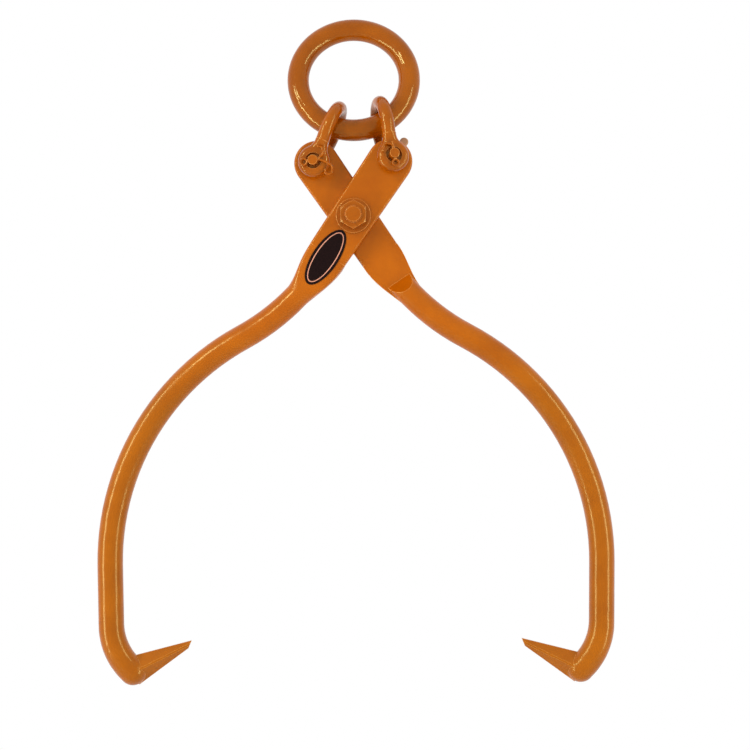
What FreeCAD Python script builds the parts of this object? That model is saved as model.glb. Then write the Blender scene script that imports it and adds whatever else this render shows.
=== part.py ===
import FreeCAD, Part
import math
import os

# Scissor lifting tongs hanging from one round ring: millimetres, +Z up, X across the grab,
# Y away from the viewer. The origin is the centre of the ring's eye.

V = FreeCAD.Vector
ACROSS = V(1, 0, 0)
BACK = V(0, 1, 0)
UP = V(0, 0, 1)

# Ring
ring_bar = 20.6
ring_inside = 86.0
ring_lean = 17.6

# Where the pair of arms hangs under the ring
arm_plane_y = -16.5
ring_to_pivot = 132.9
pair_lean = 0.42

# One arm: a round bar flattened to a plate at its upper end
bar_diameter = 24.2
plate_thickness = 11.0
plate_half_width_pin = 21.3
plate_half_width_neck = 19.6
pin_to_pivot = 62.0
plate_angle = 34.2
plate_edge_round = 2.3
neck_start = 44.0
neck_end = 91.0
neck_mid_share = 0.38
neck_mid_half_width = 18.3
neck_low_share = 0.70
neck_low_half_width = 14.9
neck_overlap = 4.0
neck_inset = 0.4
neck_cover = 0.05
flat_end = 79.0
step_start = 74.5
step_slope = 45.0
straight_run = 57.2
out_bend_radius = 208.0
out_bend_turn = 27.6
main_bow_radius = 242.0
main_bow_turn = 62.5
lower_run = 56.0
elbow_radius = 60.0
elbow_turn = 48.0
elbow_swell = 1.0

# The four-sided point forged on the arm's end
point_length = 63.6
point_turn = 66.6
point_root_up = 15.6
point_root_down = 14.8
point_root_depth = 12.0
point_tip_up = 3.1
point_tip_down = 2.6
point_tip_depth = 2.6
point_end_cut = 48.0
point_ridge_chamfer = 1.2
point_root_cover = 0.1

# Bow shackles
shackle_bar = 12.7
shackle_gap = 20.6
shackle_bow_inside = 33.3
shackle_inside_length = 51.5
ear_diameter = 30.0
ear_round = 5.0
neck_height = 21.1
knee_below_neck = 7.0
knee_radius = 16.0
left_lean = 23.0
left_twist = -6.0
left_pitch = 0.0
right_lean = -11.0
right_twist = 11.0
right_pitch = -9.0

# The left shackle rests on the ring by its own weight, so its pin lies low in the arm's wide hole
left_pin_across = -0.3
left_pin_up = -0.6

# Shackle pins, stepped down at the front end, with a thumb tang at the back
pin_diameter = 15.0
pin_fit = 0.1
pin_slack = 4.0
pin_shoulder_depth = 4.0
pin_tip_diameter = 9.2
pin_tip_stand = 4.8
pin_tip_chamfer = 0.7
pin_collar_diameter = 23.0
pin_collar_height = 5.0
pin_collar_chamfer = 1.0
tang_width = 8.4
tang_depth = 7.0
tang_reach = 39.0
tang_round = 1.8
left_tang_angle = 124.0
right_tang_angle = 43.0

# Split pins
split_wire = 2.0
split_shank = 3.1
split_hole = 3.4
split_eye_radius = 3.0
split_bend = 2.6
split_stand = 1.2

# Pivot bolt, nut and washers
bolt_diameter = 16.0
bolt_fit = 0.08
bolt_head_height = 10.0
bolt_stand = 3.0
bolt_chamfer = 1.0
hex_flats = 23.8
nut_height = 13.5
washer_diameter = 33.3
washer_thickness = 3.0
washer_fit = 0.7
washer_chamfer = 0.5
nut_fit = 0.05
face_gap = 0.1
hex_turn = 30.0

# Oval label on the front arm
label_length = 60.0
label_width = 24.7
label_thickness = 0.4
label_centre = 47.3
label_gap = 0.05

ring_radius = (ring_inside + ring_bar) / 2
bar_radius = bar_diameter / 2
pivot = V(0, arm_plane_y, -ring_to_pivot)


def turned(shape, axis, degrees, centre=V(0, 0, 0)):
    """A copy of the shape, turned by the right-hand rule."""
    copy = shape.copy()
    copy.rotate(centre, axis, degrees)
    return copy


def moved(shape, step):
    """A copy of the shape, moved by one step."""
    copy = shape.copy()
    copy.translate(step)
    return copy


def fused(first, *others):
    """One clean solid from touching solids."""
    return first.fuse(list(others)).removeSplitter()


def down(degrees):
    """Unit vector that points straight down at 0 and outwards along +X at 90."""
    turn = math.radians(degrees)
    return V(math.sin(turn), 0, -math.cos(turn))


def tangent_runs(start, heading, runs):
    """Straight runs and arcs that follow each other smoothly in the XZ plane.

    A run is (None, length) or (radius, turn in degrees); a positive turn leads outwards.
    """
    edges = []
    point = start
    for radius, amount in runs:
        if radius is None:
            end = point + down(heading) * amount
            edges.append(Part.LineSegment(point, end).toShape())
        else:
            half = math.radians(abs(amount)) / 2
            middle = point + down(heading + amount / 4) * (2 * radius * math.sin(half / 2))
            end = point + down(heading + amount / 2) * (2 * radius * math.sin(half))
            edges.append(Part.Arc(point, middle, end).toShape())
            heading = heading + amount
        point = end
    return edges, point, heading


def disc(centre, normal, radius, seam_turn=0):
    """A round section as a closed wire, its starting point turned round the normal."""
    circle = turned(Part.makeCircle(radius, centre, normal), normal, seam_turn, centre)
    return Part.Wire([circle])


def swept(edges, radius, seam_turn=0):
    """A round bar along smooth edges: a cylinder on each straight, part of a torus on each arc."""
    runs = []
    for edge in edges:
        start = edge.valueAt(edge.FirstParameter)
        tangent = edge.tangentAt(edge.FirstParameter)
        section = Part.Face(disc(start, tangent, radius, seam_turn))
        if edge.Curve.TypeId == "Part::GeomCircle":
            axis = (start - edge.Curve.Center).cross(tangent)
            turn = math.degrees(edge.Length / edge.Curve.Radius)
            runs.append(section.revolve(edge.Curve.Center, axis, turn))
        else:
            runs.append(section.extrude(tangent * edge.Length))
    return fused(*runs)


def prism(points, step):
    """A flat polygon pushed along one step."""
    closed = list(points) + [points[0]]
    return Part.Face(Part.makePolygon(closed)).extrude(step)


def circle_tangent(point, centre, radius, side):
    """Where the line from a point touches a circle in the XZ plane."""
    span = point - centre
    reach = math.hypot(span.x, span.z)
    base = math.atan2(span.z, span.x)
    swing = side * math.acos(radius / reach)
    return centre + V(math.cos(base + swing), 0, math.sin(base + swing)) * radius


def master_ring():
    ring = Part.makeTorus(ring_radius, ring_bar / 2, V(0, 0, 0), BACK)
    return turned(ring, ACROSS, -ring_lean)


# The arm is drawn with its pivot at the origin, its plate upright with the pin hole above,
# its hook bending out to +X, and the plate lying on the back side of the bar's axis.
# Its round sections start at the back, clear of the edge where the plate's flat meets the bar.

back_seam = -90

def plate():
    """The flattened upper end, with a round top and a slight taper towards the neck."""
    pin = V(0, face_gap / 2, pin_to_pivot)
    low_right = V(plate_half_width_neck, face_gap / 2, -neck_start)
    low_left = V(-plate_half_width_neck, face_gap / 2, -neck_start)
    right = circle_tangent(low_right, pin, plate_half_width_pin, 1)
    left = circle_tangent(low_left, pin, plate_half_width_pin, -1)
    top = pin + UP * plate_half_width_pin
    outline = Part.Wire([
        Part.LineSegment(low_right, right).toShape(),
        Part.Arc(right, top, left).toShape(),
        Part.LineSegment(left, low_left).toShape(),
        Part.LineSegment(low_left, low_right).toShape(),
    ])
    solid = Part.Face(outline).extrude(BACK * plate_thickness)
    rims = []
    for edge in solid.Edges:
        flat = abs(edge.Vertexes[0].Point.y - edge.Vertexes[-1].Point.y) < 0.001
        above = edge.BoundBox.ZMax > 0
        if flat and above:
            rims.append(edge)
    return solid.makeFillet(plate_edge_round, rims)


def bar_line(distance):
    """A point on the bar's line, in the flat's plane, and the direction outwards from the line."""
    bend = max(0.0, (distance - straight_run) / out_bend_radius)
    side = out_bend_radius * (1 - math.cos(bend))
    along = min(distance, straight_run) + out_bend_radius * math.sin(bend)
    return V(side, face_gap / 2, -along), V(math.cos(bend), 0, math.sin(bend))


def half_section(distance, half_width, depth, squareness):
    """A section with a flat front face, between a plate's corner shape and a half round."""
    centre, outwards = bar_line(distance)
    points = []
    steps = 24
    for index in range(steps + 1):
        turn = math.pi * index / steps
        wide = abs(math.cos(turn)) ** (2 / squareness) * math.copysign(1, math.cos(turn))
        deep = abs(math.sin(turn)) ** (2 / squareness)
        if index in (0, steps):
            deep = 0.0
        points.append(centre + outwards * (half_width * wide) + BACK * (depth * deep))
    curve = Part.BSplineCurve()
    curve.interpolate(points)
    return Part.Wire([curve.toShape(), Part.LineSegment(points[-1], points[0]).toShape()])


def neck():
    """The forged change from the flat plate to the back half of the round bar."""
    run = neck_end - neck_start
    thin = plate_thickness
    deep = bar_radius - face_gap / 2
    sections = [
        half_section(neck_start, plate_half_width_neck, thin, 11),
        half_section(neck_start + neck_mid_share * run, neck_mid_half_width, thin, 8),
        half_section(neck_start + neck_low_share * run, neck_low_half_width, thin, 4.5),
        half_section(neck_end, bar_radius + neck_cover, deep + neck_cover, 2),
        half_section(neck_end + neck_overlap, bar_radius - neck_inset, deep - neck_inset, 2),
    ]
    shape = Part.makeLoft(sections, True, False)
    flat = plate_thickness + face_gap / 2
    top = bar_radius + face_gap
    below = neck_end + bar_radius
    room = prism([V(-bar_diameter, 0, -neck_start), V(-bar_diameter, flat, -neck_start),
                  V(-bar_diameter, flat, -flat_end), V(-bar_diameter, top, -neck_end),
                  V(-bar_diameter, top, -below), V(-bar_diameter, 0, -below)],
                 ACROSS * (3 * bar_diameter))
    return shape.common(room)


def round_bar():
    """The round bar, its front half starting at a slanted step on the plate's flat face."""
    runs = [(None, straight_run), (out_bend_radius, out_bend_turn),
            (main_bow_radius, -main_bow_turn), (None, lower_run)]
    edges, end, heading = tangent_runs(V(0, 0, 0), 0, runs)
    bar = swept(edges, bar_radius, back_seam)
    room = bar_diameter
    rise = room * math.tan(math.radians(90 - step_slope))
    front = prism([V(-room, face_gap / 2, room), V(-room, face_gap / 2, -step_start),
                   V(-room, -room, -step_start - rise), V(-room, -room, room)], ACROSS * (2.5 * room))
    middle, outwards = bar_line(neck_end)
    upwards = V(-outwards.z, 0, outwards.x) * (neck_end + room)
    low = [middle - outwards * (2 * room), middle + outwards * (2 * room)]
    back = prism([low[0], low[1], low[1] + upwards, low[0] + upwards], BACK * room)
    return bar.cut([front, back]), end, heading


def hook(end, heading):
    """The elbow, which swells as it turns, and the tapered point."""
    sections = []
    steps = 5
    for index in range(steps):
        share = index / (steps - 1)
        turn = -elbow_turn * share
        half = math.radians(abs(turn)) / 2
        centre = end + down(heading + turn / 2) * (2 * elbow_radius * math.sin(half))
        radius = bar_radius + elbow_swell * share
        sections.append(disc(centre, down(heading + turn), radius, back_seam))
    elbow = Part.makeLoft(sections, True, False)
    along = down(heading - elbow_turn - point_turn)
    ball = Part.makeSphere(bar_radius + elbow_swell + point_root_cover, centre, along)
    over = V(along.z, 0, -along.x)
    tip = centre + along * point_length

    def four_corners(middle, up, low, depth):
        corners = [middle + over * up, middle + BACK * depth, middle - over * low,
                   middle - BACK * depth, middle + over * up]
        return Part.makePolygon(corners)

    point = Part.makeLoft([
        four_corners(centre, point_root_up, point_root_down, point_root_depth),
        four_corners(tip, point_tip_up, point_tip_down, point_tip_depth),
    ], True, True)
    ridges = []
    for edge in point.Edges:
        if edge.Length > point_length * 0.9:
            ridges.append(edge)
    point = point.makeChamfer(point_ridge_chamfer, ridges)
    corner = tip + over * point_tip_up
    tilt = math.radians(point_end_cut)
    bevel = over * math.cos(tilt) + along * math.sin(tilt)
    room = bar_diameter
    block = prism([corner + bevel * room + BACK * room, corner + bevel * room - BACK * room,
                   corner - bevel * room - BACK * room, corner - bevel * room + BACK * room],
                  (along * math.cos(tilt) - over * math.sin(tilt)) * room)
    return fused(elbow, ball, point.cut(block))


def arm():
    bar, end, heading = round_bar()
    forging = fused(plate(), neck(), bar, hook(end, heading))
    room = bar_diameter
    pin_hole = Part.makeCylinder((pin_diameter + pin_slack) / 2, 2 * room,
                                 V(0, -room, pin_to_pivot), BACK)
    bolt_hole = Part.makeCylinder(bolt_diameter / 2 + bolt_fit, 2 * room, V(0, -room, 0), BACK)
    return forging.cut([pin_hole, bolt_hole])


def hang_arm(forging, sign):
    """Lay an arm in place: sign 1 reaches to the right, and -1 is the same arm turned round."""
    shape = turned(forging, BACK, -plate_angle)
    if sign < 0:
        shape = turned(shape, UP, 180)
    shape = turned(shape, BACK, -pair_lean)
    return moved(shape, pivot)


# A shackle is drawn with the middle of its pin at the origin, the pin along Y and the bow above.

ear_middle = (shackle_gap + shackle_bar) / 2
ear_face = shackle_gap / 2 + shackle_bar
bow_radius = (shackle_bow_inside + shackle_bar) / 2
bow_height = shackle_inside_length - shackle_bow_inside / 2
knee_height = neck_height - knee_below_neck
ear_square = (ear_diameter / 2) ** 2 - (shackle_bar / 2) ** 2
neck_round = (neck_height ** 2 - ear_square) / (ear_diameter - shackle_bar)


def leg_flare():
    """How far each leg leans out from its knee to meet the bow."""
    rise = bow_height - knee_height
    reach = math.hypot(ear_middle, rise)
    return math.asin(bow_radius / reach) - math.atan2(ear_middle, rise)


def leg_edges(side, start):
    """One leg's line: up from the ear, round the knee and out to the bow."""
    flare = leg_flare()
    cut = knee_radius * math.tan(flare / 2)
    low = V(0, side * ear_middle, start)
    knee_low = V(0, side * ear_middle, knee_height - cut)
    centre = knee_low + V(0, side * knee_radius, 0)
    knee_mid = centre + V(0, -side * math.cos(flare / 2), math.sin(flare / 2)) * knee_radius
    knee_top = centre + V(0, -side * math.cos(flare), math.sin(flare)) * knee_radius
    shoulder = V(0, side * bow_radius * math.cos(flare), bow_height - bow_radius * math.sin(flare))
    return [Part.LineSegment(low, knee_low).toShape(), Part.Arc(knee_low, knee_mid, knee_top).toShape(),
            Part.LineSegment(knee_top, shoulder).toShape()], shoulder


def ear(side):
    """A round ear whose neck narrows to the bar, as thick as the bar, with rounded rims."""
    half_bar = shackle_bar / 2
    radius = ear_diameter / 2
    lean = math.atan2(neck_height, half_bar + neck_round)
    touch = V(radius * math.cos(lean), 0, radius * math.sin(lean))
    hollow = V(half_bar + neck_round, 0, neck_height)
    arc_mid = hollow - V(math.cos(lean / 2), 0, math.sin(lean / 2)) * neck_round
    top = V(half_bar, 0, neck_height)

    def mirror(point):
        return V(-point.x, 0, point.z)

    outline = Part.Wire([
        Part.Arc(mirror(touch), V(0, 0, -radius), touch).toShape(),
        Part.Arc(touch, arc_mid, top).toShape(),
        Part.LineSegment(top, mirror(top)).toShape(),
        Part.Arc(mirror(top), mirror(arc_mid), mirror(touch)).toShape(),
    ])
    drop = Part.Face(outline).extrude(BACK * (side * 2 * ear_face))
    edges = leg_edges(side, -ear_diameter)[0]
    low = edges[0].Vertexes[0].Point
    wide = 1.1 * radius
    frame = [V(-wide, -half_bar, 0), V(wide, -half_bar, 0), V(wide, half_bar, 0), V(-wide, half_bar, 0)]
    section = Part.makePolygon([low + corner for corner in frame + frame[:1]])
    slab = Part.Wire(edges).makePipeShell([section], True, True)
    solid = drop.common(slab)
    rims = []
    for edge in solid.Edges:
        box = edge.BoundBox
        if box.YLength < half_bar and box.ZMin < 0.95 * neck_height:
            rims.append(edge)
    return solid.makeFillet(ear_round, rims)


def shackle():
    half_bar = shackle_bar / 2
    front, left_shoulder = leg_edges(-1, knee_height)
    back, right_shoulder = leg_edges(1, knee_height)
    crown = V(0, 0, bow_height + bow_radius)
    above = knee_below_neck / 2
    front_start = front[2].valueAt(front[2].FirstParameter + above)
    back_start = back[2].valueAt(back[2].FirstParameter + above)
    path = [Part.LineSegment(front_start, left_shoulder).toShape(),
            Part.Arc(left_shoulder, crown, right_shoulder).toShape(),
            Part.LineSegment(right_shoulder, back_start).toShape()]
    bow = swept(path, half_bar)
    whole = fused(bow, ear(-1), ear(1))
    hole = Part.makeCylinder(pin_diameter / 2 + pin_fit, 4 * ear_face, V(0, -2 * ear_face, 0), BACK)
    return whole.cut(hole)


def shackle_pin(tang_angle, hole_angle):
    """A stepped pin: shoulder inside the front ear, drilled tip, collar and tang at the back."""
    shoulder = ear_face - pin_shoulder_depth
    tip = ear_face + pin_tip_stand
    shank = Part.makeCylinder(pin_diameter / 2, shoulder + ear_face, V(0, -shoulder, 0), BACK)
    nose = Part.makeCylinder(pin_tip_diameter / 2, tip, V(0, -tip, 0), BACK)
    nose = nose.makeChamfer(pin_tip_chamfer, [nose.Edges[0]])
    collar = Part.makeCylinder(pin_collar_diameter / 2, pin_collar_height, V(0, ear_face, 0), BACK)
    collar = collar.makeChamfer(pin_collar_chamfer, [edge for edge in collar.Edges if edge.Closed])
    half = tang_width / 2
    base = ear_face + pin_collar_height - tang_depth / 2
    reach = tang_reach - half
    outline = Part.Wire([
        Part.LineSegment(V(half, base, 0), V(half, base, reach)).toShape(),
        Part.Arc(V(half, base, reach), V(0, base, tang_reach), V(-half, base, reach)).toShape(),
        Part.LineSegment(V(-half, base, reach), V(-half, base, 0)).toShape(),
        Part.LineSegment(V(-half, base, 0), V(half, base, 0)).toShape(),
    ])
    tang = Part.Face(outline).extrude(BACK * tang_depth)
    tang = tang.makeFillet(tang_round, [edge for edge in tang.Edges if edge.BoundBox.ZMax > reach / 2])
    tang = turned(tang, BACK, tang_angle)
    body = fused(shank, nose, collar, tang)
    drill = Part.makeCylinder(split_hole / 2, 2 * pin_diameter, V(-pin_diameter, 0, 0), ACROSS)
    drill = moved(turned(drill, BACK, hole_angle), V(0, -split_line(), 0))
    return body.cut(drill)


def split_line():
    """How far in front of the pin's middle the split pin lies."""
    return ear_face + pin_tip_stand / 2


def rod(points, diameter, bend):
    """A wire through points in the XZ plane, with a round bend at each inner point."""
    edges = []
    last = points[0]
    for index in range(1, len(points) - 1):
        here = points[index]
        inwards = (points[index - 1] - here).normalize()
        onwards = (points[index + 1] - here).normalize()
        half = inwards.getAngle(onwards) / 2
        cut = bend / math.tan(half)
        start = here + inwards * cut
        end = here + onwards * cut
        middle = here + (inwards + onwards).normalize() * (bend / math.sin(half) - bend)
        edges.append(Part.LineSegment(last, start).toShape())
        edges.append(Part.Arc(start, middle, end).toShape())
        last = end
    edges.append(Part.LineSegment(last, points[-1]).toShape())
    return swept(edges, diameter / 2)


def split_pin(axis_angle, legs):
    """Eye, shank through the pin's tip, and two bent legs, drawn as seen from the front."""
    shank_end = pin_tip_diameter / 2 + split_stand
    shank = Part.makeCylinder(split_shank / 2, 2 * shank_end, V(-shank_end, 0, 0), ACROSS)
    eye_centre = V(-shank_end - split_eye_radius, 0, 0)
    eye = Part.makeTorus(split_eye_radius, split_wire / 2, eye_centre, BACK)
    stock = turned(fused(shank, eye), BACK, axis_angle)
    start = turned(Part.Vertex(V(shank_end - split_wire / 2, 0, 0)), BACK, axis_angle).Point
    wires = []
    for leg in legs:
        points = [start] + [V(x, 0, z) for x, z in leg]
        wires.append(rod(points, split_wire, split_bend))
    return moved(fused(stock, *wires), V(0, -split_line(), 0))


left_legs = [[(9.6, 5.6), (9.2, 12.0), (4.4, 12.8)],
             [(12.0, -1.8), (18.4, -5.8), (18.0, -13.2), (12.0, -13.8), (11.6, -8.8)]]
left_split_angle = -11.0
right_legs = [[(-0.5, 7.4), (-1.8, 11.4)],
              [(-2.2, 8.6), (-9.6, 10.4), (-10.6, 1.6)]]
right_split_angle = -99.0


def shackle_set(side):
    """Shackle, pin and split pin of one side, in place on their arm."""
    if side < 0:
        lean, twist, pitch = left_lean, left_twist, left_pitch
        tang, hole, legs = left_tang_angle, left_split_angle, left_legs
    else:
        lean, twist, pitch = right_lean, right_twist, right_pitch
        tang, hole, legs = right_tang_angle, right_split_angle, right_legs
    split = turned(split_pin(hole, legs), BACK, -lean)
    pieces = [shackle(), shackle_pin(tang, hole - lean), split]
    plate_middle = BACK * (-side * (plate_thickness + face_gap) / 2)
    spot = V(side * pin_to_pivot * math.sin(math.radians(plate_angle)), 0,
             pin_to_pivot * math.cos(math.radians(plate_angle)))
    spot = turned(Part.Vertex(spot), BACK, -pair_lean).Point
    if side < 0:
        spot = spot + V(left_pin_across, 0, left_pin_up)
    placed = []
    for piece in pieces:
        piece = turned(piece, UP, twist)
        piece = turned(piece, ACROSS, pitch)
        piece = turned(piece, BACK, lean)
        placed.append(moved(piece, pivot + spot + plate_middle))
    return placed


def hexagon(height, start):
    """A hexagonal head with its corners turned off at both ends."""
    corner = hex_flats / math.sqrt(3)
    points = []
    for index in range(6):
        turn = math.radians(60 * index + hex_turn)
        points.append(V(corner * math.cos(turn), start, corner * math.sin(turn)))
    block = prism(points, BACK * height)
    bevel = corner - hex_flats / 2
    profile = [V(0, start, 0), V(hex_flats / 2, start, 0), V(corner, start + bevel * 0.6, 0),
               V(corner, start + height - bevel * 0.6, 0), V(hex_flats / 2, start + height, 0),
               V(0, start + height, 0)]
    turned_blank = Part.Face(Part.makePolygon(profile + profile[:1])).revolve(V(0, 0, 0), BACK, 360)
    return block.common(turned_blank)


def washer(start):
    ring = Part.makeCylinder(washer_diameter / 2, washer_thickness, V(0, start, 0), BACK)
    hole = Part.makeCylinder(bolt_diameter / 2 + washer_fit, washer_thickness, V(0, start, 0), BACK)
    solid = ring.cut(hole)
    rims = [edge for edge in solid.Edges if edge.Closed and edge.Length > 3 * washer_diameter]
    return solid.makeChamfer(washer_chamfer, rims)


def pivot_set():
    """Bolt from the back, a washer under its head and its nut, and the nut in front."""
    face = face_gap / 2 + plate_thickness
    seat = face + face_gap + washer_thickness
    front_end = seat + nut_height + bolt_stand
    shank = Part.makeCylinder(bolt_diameter / 2, front_end + seat, V(0, -front_end, 0), BACK)
    shank = shank.makeChamfer(bolt_chamfer, [edge for edge in shank.Edges
                                    if edge.Closed and edge.BoundBox.YMax < 0])
    bolt = fused(shank, hexagon(bolt_head_height, seat))
    bore = Part.makeCylinder(bolt_diameter / 2 + nut_fit, nut_height, V(0, -seat - nut_height, 0), BACK)
    nut = hexagon(nut_height, -seat - nut_height).cut(bore)
    front_washer = washer(-seat)
    back_washer = washer(seat - washer_thickness)
    return [moved(piece, pivot) for piece in (bolt, nut, front_washer, back_washer)]


def oval_label():
    """A thin oval plate on the front arm's flat."""
    front = -(face_gap / 2 + plate_thickness + label_gap + label_thickness)
    oval = Part.Ellipse(V(0, 0, 0), label_length / 2, label_width / 2).toShape()
    solid = Part.Face(Part.Wire([oval])).extrude(V(0, 0, label_thickness))
    solid = turned(solid, ACROSS, -90)
    solid = turned(solid, BACK, 90)
    solid = moved(solid, V(0, front, -label_centre))
    solid = turned(solid, BACK, plate_angle - pair_lean)
    return moved(solid, pivot)


def build():
    forging = arm()
    left = shackle_set(-1)
    right = shackle_set(1)
    bolt, nut, front_washer, back_washer = pivot_set()
    return {
        "master_ring": master_ring(),
        "shackle_left": left[0],
        "shackle_pin_left": left[1],
        "split_pin_left": left[2],
        "shackle_right": right[0],
        "shackle_pin_right": right[1],
        "split_pin_right": right[2],
        "arm_front": hang_arm(forging, -1),
        "arm_back": hang_arm(forging, 1),
        "pivot_bolt": bolt,
        "pivot_nut": nut,
        "pivot_washer_front": front_washer,
        "pivot_washer_back": back_washer,
        "oval_label": oval_label(),
    }


os.makedirs("parts", exist_ok=True)
for name, shape in build().items():
    shape.exportStep("parts/" + name + ".step")
    box = shape.BoundBox
    print(name, "solids", len(shape.Solids), "valid", shape.isValid(),
          "volume", round(shape.Volume), "box", [round(value, 1) for value in
          (box.XMin, box.YMin, box.ZMin, box.XMax, box.YMax, box.ZMax)])
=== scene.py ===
# %% [markdown]
# # Scissor lifting tongs
#
# The tongs hang from one round ring. Two bow shackles join the ring to the flattened upper ends
# of two forged arms. The arms cross on a bolt, so the weight of the load closes the hooks on it.
# This lesson loads the measured solids of the tongs, gives each piece its paint, and sets up a
# plain studio. All lengths are in metres, with Z up and the viewer looking along Y.

# %% Load the measured solids
import math

import bmesh
import bpy
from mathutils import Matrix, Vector


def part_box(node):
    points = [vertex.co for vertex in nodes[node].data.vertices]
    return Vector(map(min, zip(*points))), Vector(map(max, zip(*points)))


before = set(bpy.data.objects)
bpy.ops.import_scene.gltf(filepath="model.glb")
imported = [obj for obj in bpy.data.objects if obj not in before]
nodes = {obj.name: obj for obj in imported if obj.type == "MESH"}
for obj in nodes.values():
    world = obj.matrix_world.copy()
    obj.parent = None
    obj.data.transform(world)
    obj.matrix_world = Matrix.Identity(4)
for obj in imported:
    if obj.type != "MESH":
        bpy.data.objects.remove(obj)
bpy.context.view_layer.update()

print("pieces loaded:", len(nodes))

# %% [markdown]
# ## Tools for materials
#
# Every finish here is built from shader nodes, so five small helpers save many lines. One makes a
# node with its settings, one stretches a range of values to another range, one turns a colour as a
# screen shows it into the linear values that a shader wants, one mixes two colours, and one starts
# a material. The finishes are drawn on Object coordinates. They have no seams, and they stay on a
# piece when the joints turn. An image wrapped round the pieces would stretch over the bends.

# %% Helpers for nodes and colours


def add(tree, kind, **settings):
    """A shader node with its settings; a key that starts with in_ fills the socket of that name."""
    node = tree.nodes.new(kind)
    for key, value in settings.items():
        if key.startswith("in_"):
            node.inputs[key[3:].replace("_", " ")].default_value = value
        else:
            setattr(node, key, value)
    return node


def stretch(tree, value, start, end, at_start=0.0, at_end=1.0):
    """An output that goes from at_start to at_end while value goes from start to end."""
    node = add(tree, "ShaderNodeMapRange", in_From_Min=start, in_From_Max=end,
               in_To_Min=at_start, in_To_Max=at_end)
    tree.links.new(value, node.inputs["Value"])
    return node.outputs["Result"]


def colour(red, green, blue):
    """A colour as a screen shows it, turned into the linear values that the shader wants."""
    linear = []
    for value in (red, green, blue):
        share = value / 255
        linear.append(share / 12.92 if share <= 0.04045 else ((share + 0.055) / 1.055) ** 2.4)
    return (*linear, 1.0)


def mix_colours(tree, share, first, second, blend_type="MIX"):
    """The output first, turned into the fixed colour second as far as share says."""
    node = add(tree, "ShaderNodeMix", data_type="RGBA", blend_type=blend_type)
    node.inputs["B"].default_value = second
    tree.links.new(share, node.inputs["Factor"])
    tree.links.new(first, node.inputs["A"])
    return node.outputs["Result"]


def new_material(name, roughness, shine, tint=(1, 1, 1, 1)):
    """An empty glossy material with its shader and its Object coordinates."""
    material = bpy.data.materials.new(name)
    material.use_nodes = True
    tree = material.node_tree
    shader = tree.nodes["Principled BSDF"]
    shader.inputs["Roughness"].default_value = roughness
    shader.inputs["IOR"].default_value = 1.5
    shader.inputs["Specular IOR Level"].default_value = shine
    shader.inputs["Specular Tint"].default_value = tint
    place = add(tree, "ShaderNodeTexCoord")
    return material, tree, shader, place.outputs["Object"]


# %% [markdown]
# ## Paint that drifts in colour
#
# The real tongs are dipped in one coat of orange enamel. Where the coat is thin the steel darkens
# it, and where it is thick it is a purer orange. A soft noise chooses between the two colours.
# One flat colour would be simpler, but wide areas such as the flats of the arms would look like
# plastic.

# %% Colour of the coat
drift_scale = 26.0
drift_low, drift_high = 0.34, 0.64


def drifting_paint(tree, place, thick, thin):
    """An output that drifts between the colours of the thick and the thin coat."""
    drift = add(tree, "ShaderNodeTexNoise", in_Scale=drift_scale, in_Detail=5.0, in_Roughness=0.6)
    tree.links.new(place, drift.inputs["Vector"])
    ramp = add(tree, "ShaderNodeValToRGB")
    ramp.color_ramp.elements[0].position = drift_low
    ramp.color_ramp.elements[0].color = thin
    ramp.color_ramp.elements[1].position = drift_high
    ramp.color_ramp.elements[1].color = thick
    tree.links.new(drift.outputs["Fac"], ramp.inputs["Fac"])
    return ramp.outputs["Color"]


# %% [markdown]
# ## Rounded edges and a painted highlight along them
#
# A thin pale line runs along the plates, round the nut and washer, and round the step where the
# arm's flat ends. It is a painted highlight: a paler orange mixed into the paint's colour along
# every sharp edge. The Bevel node gives the rounded direction of the surface near an edge, which
# shades the edges as if they were rounded. Where it differs from the real direction there must be
# an edge, so the same node also says where the painted highlight belongs. Rounding the edges in
# the mesh would do it too, but the measured solids must stay as they are.

# %% Rounded edges and their painted highlight
rounding_radius = 0.0009
# painted highlight: the paler orange mixed into the colour along every sharp edge
painted_edge_highlight = colour(232, 150, 70)
edge_highlight_strength = 0.95
edge_starts, edge_full = 0.99, 0.93


def rounded_edges_and_painted_highlight(tree, paint):
    """The paint with a painted highlight along its edges, and the surface direction with the edges
    rounded.
    """
    rounded = add(tree, "ShaderNodeBevel", samples=8, in_Radius=rounding_radius)
    surface = add(tree, "ShaderNodeNewGeometry")
    agreement = add(tree, "ShaderNodeVectorMath", operation="DOT_PRODUCT")
    tree.links.new(rounded.outputs["Normal"], agreement.inputs[0])
    tree.links.new(surface.outputs["Normal"], agreement.inputs[1])
    on_edge = stretch(tree, agreement.outputs["Value"], edge_full, edge_starts, edge_highlight_strength, 0.0)
    return mix_colours(tree, on_edge, paint, painted_edge_highlight), rounded.outputs["Normal"]


# %% [markdown]
# ## The uneven skin
#
# Enamel is never quite flat. A fine peel blurs every mirror image a little, and larger lumps bend
# the highlights. The lumps differ from piece to piece, because a forged ring has long waves and a
# nut has short ones. Both are bumps: they bend the light and leave the shape alone, which is enough
# for lumps under a millimetre high.

# %% Peel and lumps
peel_scale = 900.0
peel_height = 0.00012


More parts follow.
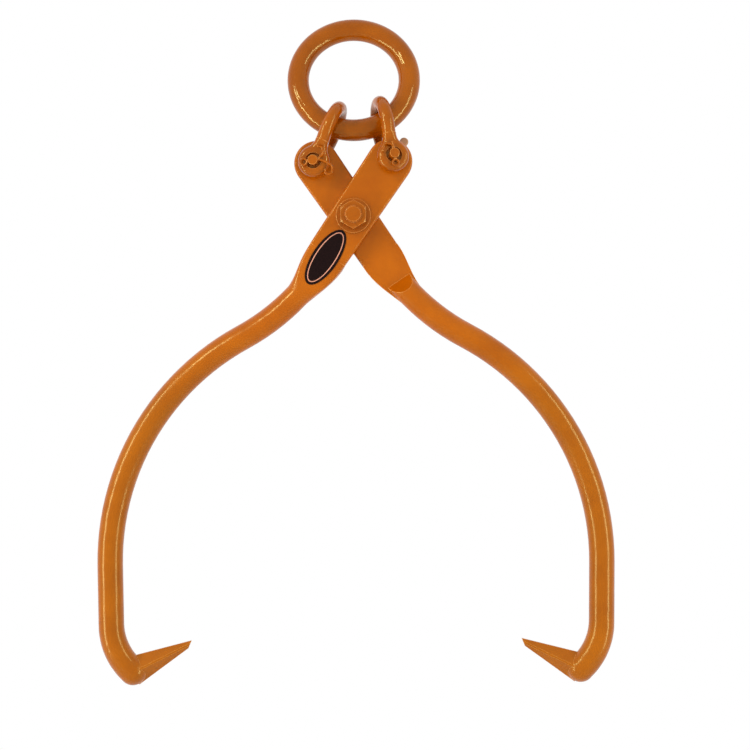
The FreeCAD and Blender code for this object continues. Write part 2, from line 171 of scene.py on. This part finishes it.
def uneven_skin(tree, place, direction, lump_size, lump_height, peel_strength):
    """The surface direction with a fine peel and larger lumps on it."""
    peel = add(tree, "ShaderNodeTexNoise", in_Scale=peel_scale, in_Detail=1.0)
    tree.links.new(place, peel.inputs["Vector"])
    fine = add(tree, "ShaderNodeBump", in_Strength=peel_strength, in_Distance=peel_height)
    tree.links.new(direction, fine.inputs["Normal"])
    tree.links.new(peel.outputs["Fac"], fine.inputs["Height"])
    lumps = add(tree, "ShaderNodeTexNoise", in_Scale=1 / lump_size, in_Detail=2.5, in_Roughness=0.5)
    tree.links.new(place, lumps.inputs["Vector"])
    coarse = add(tree, "ShaderNodeBump", in_Strength=1.0, in_Distance=lump_height)
    tree.links.new(fine.outputs["Normal"], coarse.inputs["Normal"])
    tree.links.new(lumps.outputs["Fac"], coarse.inputs["Height"])
    return coarse.outputs["Normal"]


# %% [markdown]
# ## Orange enamel
#
# The three parts make one enamel. Its shine has a warm tint, because the photograph's highlights
# are yellow and not white. With a white tint the sides of the bars, which mirror the white
# surroundings at a low angle, would carry a violet-grey veil.

# %% Put the enamel together
warm_shine = (1.0, 0.90, 0.32, 1)
enamel_shine = 0.50


def enamel(name, thick, thin, lump_size, lump_height, roughness=0.18, peel_strength=0.15):
    """Orange enamel over forged steel: thick and thin are the coat's two colours."""
    material, tree, shader, place = new_material(name, roughness, enamel_shine, warm_shine)
    paint = drifting_paint(tree, place, thick, thin)
    paint, direction = rounded_edges_and_painted_highlight(tree, paint)
    direction = uneven_skin(tree, place, direction, lump_size, lump_height, peel_strength)
    tree.links.new(paint, shader.inputs["Base Color"])
    tree.links.new(direction, shader.inputs["Normal"])
    return material, tree, shader, place, paint


# %% [markdown]
# ## Which piece gets which coat
#
# The ring and the shackles are forged and dipped. Low waves bend their highlights, and their
# orange is painted shade: the same enamel as on the arms, made darker, darkest on the ring. The
# arms are smoother and a little lighter, with long even highlights. The small hardware was painted
# in place, and it gets the same painted shade and a finer skin. One material for all would be
# simpler, but then every highlight would break up at the same scale.

# %% Paint the steel pieces
lit_orange, thin_orange = colour(188, 93, 1), colour(173, 81, 0)
# painted shade: the shackles', hardware's and ring's oranges are darker copies of the arms' orange
shaded_orange, shaded_thin = colour(175, 85, 1), colour(155, 70, 0)
ring_shaded_orange, ring_shaded_thin = colour(166, 80, 1), colour(148, 66, 0)
hardware_skin = {"lump_size": 0.0050, "lump_height": 0.0004}

coats = {
    "ring_enamel": enamel("ring_enamel", ring_shaded_orange, ring_shaded_thin, lump_size=0.0110,
                          lump_height=0.0006, roughness=0.13, peel_strength=0.04),
    "shackle_enamel": enamel("shackle_enamel", shaded_orange, shaded_thin, lump_size=0.0070,
                             lump_height=0.0006, roughness=0.13, peel_strength=0.06),
    "arm_enamel": enamel("arm_enamel", lit_orange, thin_orange, lump_size=0.0160,
                         lump_height=0.0005, roughness=0.22, peel_strength=0.03),
    "hardware_enamel": enamel("hardware_enamel", shaded_orange, shaded_thin, **hardware_skin),
}
coat_of = {"master_ring": "ring_enamel", "shackle_left": "shackle_enamel",
           "shackle_right": "shackle_enamel", "arm_front": "arm_enamel", "arm_back": "arm_enamel"}

for name, piece in nodes.items():
    coat = coat_of.get(name, "hardware_enamel")
    piece.data.materials.clear()
    piece.data.materials.append(coats[coat][0])
    print(name, "->", coat)

# %% [markdown]
# ## Painted shade on the arms' bars
#
# The bars are coloured a shade deeper and redder than the flats above them. This is painted
# shade: the coat's colour is multiplied by a fixed darker tone below the flats, with a soft change
# over 80 mm. A second material would need a hard border.

# %% Darken the coat below the flats as painted shade
shade_starts_down, shade_full_down = -0.23, -0.31
# painted shade: this tone darkens the arms' colour below the flats
lower_painted_shade = (0.84, 0.95, 0.9, 1)

_, tree, shader, place, paint = coats["arm_enamel"]
height = add(tree, "ShaderNodeSeparateXYZ")
tree.links.new(place, height.inputs[0])
shade_below = stretch(tree, height.outputs["Z"], shade_starts_down, shade_full_down)
shaded_lower_paint = mix_colours(tree, shade_below, paint, lower_painted_shade, "MULTIPLY")
tree.links.new(shaded_lower_paint, shader.inputs["Base Color"])
print("lower coat from", shade_starts_down, "to", shade_full_down)

# %% [markdown]
# ## Painted reflection on the thumb tang
#
# The end of the right pin's tang is greyish brown. That colour is painted reflection and shade:
# the tang's end is painted paler and greyer, as the shaded orange looks where it mirrors the white
# surroundings. Painting that by hand would need a texture map. A distance from the tang's end,
# broken up by noise, gives an uneven edge between the orange and the painted reflection.

# %% Paint a reflection on the right tang's end
painted_reflection_from, painted_reflection_to = 0.012, 0.016
reflection_raggedness = 0.006
# painted reflection and shade: the pale greyish brown laid on the right tang's end
painted_reflection_colour = colour(184, 134, 104)
grain_scale = 420.0
tang_end_from_corner = Vector((0.004, 0.006, 0.004))

_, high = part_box("shackle_pin_right")
tang_end = Vector(high) - tang_end_from_corner
tang_with_painted_reflection, tree, shader, place, paint = enamel("tang_reflection_enamel", shaded_orange, shaded_thin,
                                            **hardware_skin)
away = add(tree, "ShaderNodeVectorMath", operation="DISTANCE")
away.inputs[1].default_value = tang_end
tree.links.new(place, away.inputs[0])
grain = add(tree, "ShaderNodeTexNoise", in_Scale=grain_scale, in_Detail=3.0)
tree.links.new(place, grain.inputs["Vector"])
ragged = add(tree, "ShaderNodeMath", operation="MULTIPLY_ADD")
ragged.inputs[1].default_value = reflection_raggedness
tree.links.new(grain.outputs["Fac"], ragged.inputs[0])
tree.links.new(away.outputs["Value"], ragged.inputs[2])
reflection_mask = stretch(tree, ragged.outputs[0], painted_reflection_from, painted_reflection_to, 1.0, 0.0)
tree.links.new(mix_colours(tree, reflection_mask, paint, painted_reflection_colour), shader.inputs["Base Color"])
nodes["shackle_pin_right"].data.materials[0] = tang_with_painted_reflection
print("rubbed end at", tuple(round(value, 4) for value in tang_end))

# %% [markdown]
# ## The oval label
#
# A thin oval plate lies on the front arm's flat. It is glossy black with one thin pale line inside
# its edge, and its middle is plain black. The line could be a second raised piece, but on the real
# label it is print, so the material draws it: the area inside a large ellipse and outside a
# slightly smaller one. A Mapping node turns the label's own length upright, so that both ellipses
# are simple.

# %% Draw the pale line on black
label = nodes["oval_label"]
low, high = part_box("oval_label")
label_centre = (Vector(low) + Vector(high)) / 2
plate_angle, pair_lean = 34.2, 0.42
label_turn = math.radians(plate_angle - pair_lean)
half_length, half_width = 0.0300, 0.01235
line_inset, line_width = 0.0026, 0.0009
rim_starts, rim_ends = 0.99, 1.01
line_colour = colour(224, 156, 128)
dark_ink, light_ink = colour(16, 6, 6), colour(34, 18, 16)
speckle_scale = 700.0

gloss_black, tree, shader, place = new_material("label_gloss", roughness=0.20, shine=0.06)


def inside_oval(inset):
    """1 inside the ellipse that lies this far in from the label's edge, with a soft rim."""
    mapping = add(tree, "ShaderNodeMapping", vector_type="TEXTURE")
    mapping.inputs["Location"].default_value = label_centre
    mapping.inputs["Rotation"].default_value = (0, label_turn, 0)
    mapping.inputs["Scale"].default_value = (half_width - inset, 1, half_length - inset)
    tree.links.new(place, mapping.inputs["Vector"])
    reach = add(tree, "ShaderNodeVectorMath", operation="LENGTH")
    tree.links.new(mapping.outputs["Vector"], reach.inputs[0])
    return stretch(tree, reach.outputs["Value"], rim_starts, rim_ends, 1.0, 0.0)


line = add(tree, "ShaderNodeMath", operation="SUBTRACT")
tree.links.new(inside_oval(line_inset), line.inputs[0])
tree.links.new(inside_oval(line_inset + line_width), line.inputs[1])
speckle = add(tree, "ShaderNodeTexNoise", in_Scale=speckle_scale, in_Detail=2.0)
tree.links.new(place, speckle.inputs["Vector"])
ink = add(tree, "ShaderNodeValToRGB")
ink.color_ramp.elements[0].color = dark_ink
ink.color_ramp.elements[1].color = light_ink
tree.links.new(speckle.outputs["Fac"], ink.inputs["Fac"])
printed = mix_colours(tree, line.outputs[0], ink.outputs["Color"], line_colour)
tree.links.new(printed, shader.inputs["Base Color"])
label.data.materials[0] = gloss_black
print("label centre", tuple(round(value, 4) for value in label_centre))

# %% [markdown]
# ## Camera
#
# The photograph was taken square to the arms, about 1.6 m away, with the camera near the height of
# the middle of the tongs. Its picture is 750 pixels square. A longer lens from further away would
# frame the tongs as well, but then the ring and the shackles would show less of their depth.

# %% Camera
arm_plane = -0.0165
camera_distance = 1.615
camera_right, camera_up = 0.0204, -0.2833
sensor_millimetres = 36
picture_pixels = 750
focal_pixels = 1700
camera_data = bpy.data.cameras.new("photo_camera")
camera_data.sensor_width = sensor_millimetres
camera_data.lens = sensor_millimetres * focal_pixels / picture_pixels
camera = bpy.data.objects.new("photo_camera", camera_data)
camera.location = (camera_right, arm_plane - camera_distance, camera_up)
camera.rotation_euler = (math.radians(90), 0, 0)
bpy.context.scene.collection.objects.link(camera)
bpy.context.scene.camera = camera
bpy.context.scene.view_settings.view_transform = "Standard"
print("lens", round(camera_data.lens, 2), "mm")

# %% [markdown]
# ## Floor
#
# The tongs hang, so the floor is well below the hooks, where it still catches their soft shadow.
# It is a round sheet of pale paper. A square sheet would do, but its corners would show in the
# side views. Its colour is made partly white for the camera alone, which keeps the shadow.

# %% Floor
floor_height = -0.95
floor_radius = 1.3
floor_sides = 96
white_share = 0.55
paper, tree, shader, _ = new_material("studio_paper", roughness=0.9, shine=0.5)
shader.inputs["Base Color"].default_value = (0.86, 0.86, 0.86, 1)
glow = add(tree, "ShaderNodeEmission", in_Strength=1.0, in_Color=(1, 1, 1, 1))
ray = add(tree, "ShaderNodeLightPath")
part = add(tree, "ShaderNodeMath", operation="MULTIPLY")
part.inputs[1].default_value = white_share
tree.links.new(ray.outputs["Is Camera Ray"], part.inputs[0])
mix = add(tree, "ShaderNodeMixShader")
tree.links.new(part.outputs[0], mix.inputs["Fac"])
tree.links.new(shader.outputs["BSDF"], mix.inputs[1])
tree.links.new(glow.outputs["Emission"], mix.inputs[2])
tree.links.new(mix.outputs["Shader"], tree.nodes["Material Output"].inputs["Surface"])

sheet = bmesh.new()
bmesh.ops.create_circle(sheet, cap_ends=True, segments=floor_sides, radius=floor_radius)
bmesh.ops.translate(sheet, verts=sheet.verts, vec=(0, 0, floor_height))
floor_mesh = bpy.data.meshes.new("floor")
sheet.to_mesh(floor_mesh)
sheet.free()
floor_mesh.materials.append(paper)
floor = bpy.data.objects.new("floor", floor_mesh)
bpy.context.scene.collection.objects.link(floor)
print("floor at", floor_height)

# %% [markdown]
# ## Surroundings
#
# The photograph's background is plain white, and the world gives it: full white where the camera
# or a mirror image looks. On the paint itself the world is a fill light, and it is graded. It is
# brighter above than below, and dimmer at the two sides, where the lamps stand. It is also brighter
# behind the tongs, so that their back can be seen. A lamp behind them would light the back too,
# but it would turn the inner sides of both shackles white.

# %% Fill light
world = bpy.data.worlds.new("studio")
bpy.context.scene.world = world
world.use_nodes = True
tree = world.node_tree
fill = tree.nodes["Background"]
fill.inputs["Color"].default_value = (1, 1, 1, 1)
way = add(tree, "ShaderNodeTexCoord")
toward = add(tree, "ShaderNodeSeparateXYZ")
tree.links.new(way.outputs["Generated"], toward.inputs[0])
sideways = add(tree, "ShaderNodeMath", operation="ABSOLUTE")
tree.links.new(toward.outputs["X"], sideways.inputs[0])
grades = [
    stretch(tree, toward.outputs["Z"], start=-0.6, end=0.9, at_start=0.23, at_end=0.95),
    stretch(tree, sideways.outputs[0], start=0.3, end=0.95, at_start=1.0, at_end=0.4),
    stretch(tree, toward.outputs["Y"], start=0.2, end=0.9, at_start=1.0, at_end=2.2),
]
level = grades[0]
for grade in grades[1:]:
    product = add(tree, "ShaderNodeMath", operation="MULTIPLY")
    tree.links.new(level, product.inputs[0])
    tree.links.new(grade, product.inputs[1])
    level = product.outputs[0]
tree.links.new(level, fill.inputs["Strength"])
print("fill light graded by", len(grades), "directions")

# %% White for the camera and for mirror images
white = add(tree, "ShaderNodeBackground", in_Strength=1.0, in_Color=(1, 1, 1, 1))
ray = add(tree, "ShaderNodeLightPath")
seen = add(tree, "ShaderNodeMath", operation="MAXIMUM")
tree.links.new(ray.outputs["Is Camera Ray"], seen.inputs[0])
tree.links.new(ray.outputs["Is Glossy Ray"], seen.inputs[1])
any_view = add(tree, "ShaderNodeMath", operation="MAXIMUM")
tree.links.new(seen.outputs[0], any_view.inputs[0])
tree.links.new(ray.outputs["Is Transmission Ray"], any_view.inputs[1])
mix = add(tree, "ShaderNodeMixShader")
tree.links.new(any_view.outputs[0], mix.inputs["Fac"])
tree.links.new(fill.outputs["Background"], mix.inputs[1])
tree.links.new(white.outputs["Background"], mix.inputs[2])
tree.links.new(mix.outputs["Shader"], tree.nodes["World Output"].inputs["Surface"])

# %% [markdown]
# ## Lamps
#
# The long highlights on each arm come from two tall, narrow soft lamps, one on each side, about 60
# degrees off the camera. The left one is a little stronger, as it is in the photograph. A small
# lamp high on the left lights the top of the ring. One broad lamp above would be simpler, but it
# would lay wide pale bands on the ring and leave the bars without their lines of light.

# %% Lamps
lamp_target = Vector((0, arm_plane, -0.28))
lamp_distance = 2.2


def softbox(name, azimuth, elevation, width, height, watts):
    """A rectangular lamp aimed at the middle of the tongs. Azimuth 0 is beside the camera."""
    turn = math.radians(azimuth)
    rise = math.radians(elevation)
    level = math.cos(rise)
    aim = Vector((math.sin(turn) * level, -math.cos(turn) * level, math.sin(rise)))
    lamp = bpy.data.lights.new(name, "AREA")
    lamp.shape = "RECTANGLE"
    lamp.size = width
    lamp.size_y = height
    lamp.energy = watts
    holder = bpy.data.objects.new(name, lamp)
    holder.location = lamp_target + aim * lamp_distance
    holder.rotation_euler = aim.to_track_quat("Z", "Y").to_euler()
    bpy.context.scene.collection.objects.link(holder)
    print(name, watts, "W from", tuple(round(value, 2) for value in holder.location))


softbox("right_softbox", azimuth=58, elevation=0, width=0.34, height=2.6, watts=27)
softbox("left_softbox", azimuth=-60, elevation=0, width=0.24, height=2.6, watts=34)
softbox("high_left", azimuth=-42, elevation=33, width=0.32, height=0.24, watts=7)
